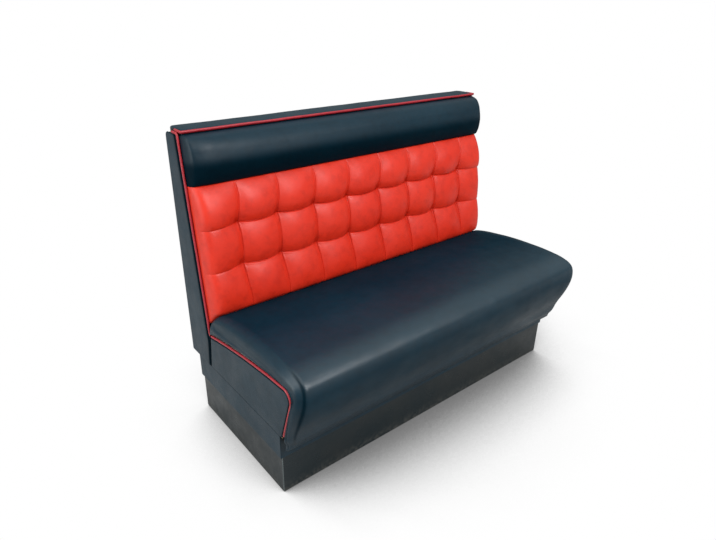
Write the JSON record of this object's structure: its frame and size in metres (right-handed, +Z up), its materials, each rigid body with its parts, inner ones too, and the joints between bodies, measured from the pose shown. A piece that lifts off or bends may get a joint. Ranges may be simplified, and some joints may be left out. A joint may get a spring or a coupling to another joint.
{
  "type": "restaurant booth bench",
  "caption": "Free-standing booth bench with a padded headroll over a tufted backrest, a crowned lift-out seat with a rounded front roll, and a levelling plinth.",
  "frame": {"origin": "on the floor under the middle of the overall box", "axes": "+X along the booth's length, the seat faces -Y, +Z up"},
  "size_m": [1.228, 0.6556, 0.968],
  "materials": {
    "vinyl_dark": "semi-gloss embossed vinyl",
    "vinyl_red": "semi-gloss embossed vinyl",
    "piping_red": "semi-gloss vinyl over cord",
    "plywood": "bare sanded",
    "plinth_black": "black laminate",
    "hardboard": "bare",
    "foam": "open-cell foam",
    "felt": "needled felt",
    "twine": "waxed twine",
    "spring_steel": "oiled spring wire",
    "fixing_steel": "zinc plated",
    "foot_plastic": "moulded nylon"
  },
  "bodies": {
    "booth": {"back_bolts": "fixing_steel", "back_bottom_rail": "plywood", "back_cleat": "plywood", "back_cross_rails": "plywood", "back_end_stiles": "plywood", "back_front_board": "plywood", "back_inner_stiles": "plywood", "back_lower_board": "plywood", "back_piping_left": "piping_red", "back_piping_right": "piping_red", "back_piping_top": "piping_red", "back_rear_board": "hardboard", "back_rear_cover": "vinyl_dark", "back_side_cover_left": "vinyl_dark", "back_side_cover_right": "vinyl_dark", "back_top_cap": "vinyl_dark", "back_top_rail": "plywood", "base_cover_ends": "vinyl_dark", "base_cover_front": "vinyl_dark", "base_cross_rails": "plywood", "base_end_rails": "plywood", "base_front_rail": "plywood", "base_ledger": "plywood", "base_rear_rail": "plywood", "base_screws": "fixing_steel", "headroll_cover": "vinyl_dark", "headroll_foam": "foam", "leveller_sleeves": "fixing_steel", "plinth_corner_blocks": "plywood", "plinth_cross_boards": "plinth_black", "plinth_front_board": "plinth_black", "plinth_rear_board": "plinth_black", "tufted_cover": "vinyl_red", "tufted_foam": "foam", "tufting_ties": "twine"},
    "seat": {"seat_apron_rail": "plywood", "seat_centre_rail": "plywood", "seat_cleat": "plywood", "seat_cushion_cover": "vinyl_dark", "seat_deck_felt": "felt", "seat_end_cover_left": "vinyl_dark", "seat_end_cover_right": "vinyl_dark", "seat_end_panels": "plywood", "seat_foam": "foam", "seat_front_panel": "plywood", "seat_piping_left": "piping_red", "seat_piping_right": "piping_red", "seat_rear_rail": "plywood", "seat_spring_rail": "plywood", "seat_spring_saddles": "fixing_steel", "seat_springs": "spring_steel"},
    "leveller_front_left": {"leveller_stem_front_left": "fixing_steel", "leveller_pad_front_left": "foot_plastic"},
    "leveller_front_right": {"leveller_stem_front_right": "fixing_steel", "leveller_pad_front_right": "foot_plastic"},
    "leveller_rear_left": {"leveller_stem_rear_left": "fixing_steel", "leveller_pad_rear_left": "foot_plastic"},
    "leveller_rear_right": {"leveller_stem_rear_right": "fixing_steel", "leveller_pad_rear_right": "foot_plastic"}
  },
  "joints": [
    {"name": "seat_lift", "type": "slide", "parent": "booth", "child": "seat", "axis": [0, -0.7071, 0.7071], "range_m": [0, 0.12]},
    {"name": "leveller_front_left_screw", "type": "slide", "parent": "booth", "child": "leveller_front_left", "axis": [0, 0, -1], "range_m": [0, 0.012]},
    {"name": "leveller_front_right_screw", "type": "slide", "parent": "booth", "child": "leveller_front_right", "axis": [0, 0, -1], "range_m": [0, 0.012]},
    {"name": "leveller_rear_left_screw", "type": "slide", "parent": "booth", "child": "leveller_rear_left", "axis": [0, 0, -1], "range_m": [0, 0.012]},
    {"name": "leveller_rear_right_screw", "type": "slide", "parent": "booth", "child": "leveller_rear_right", "axis": [0, 0, -1], "range_m": [0, 0.012]}
  ]
}
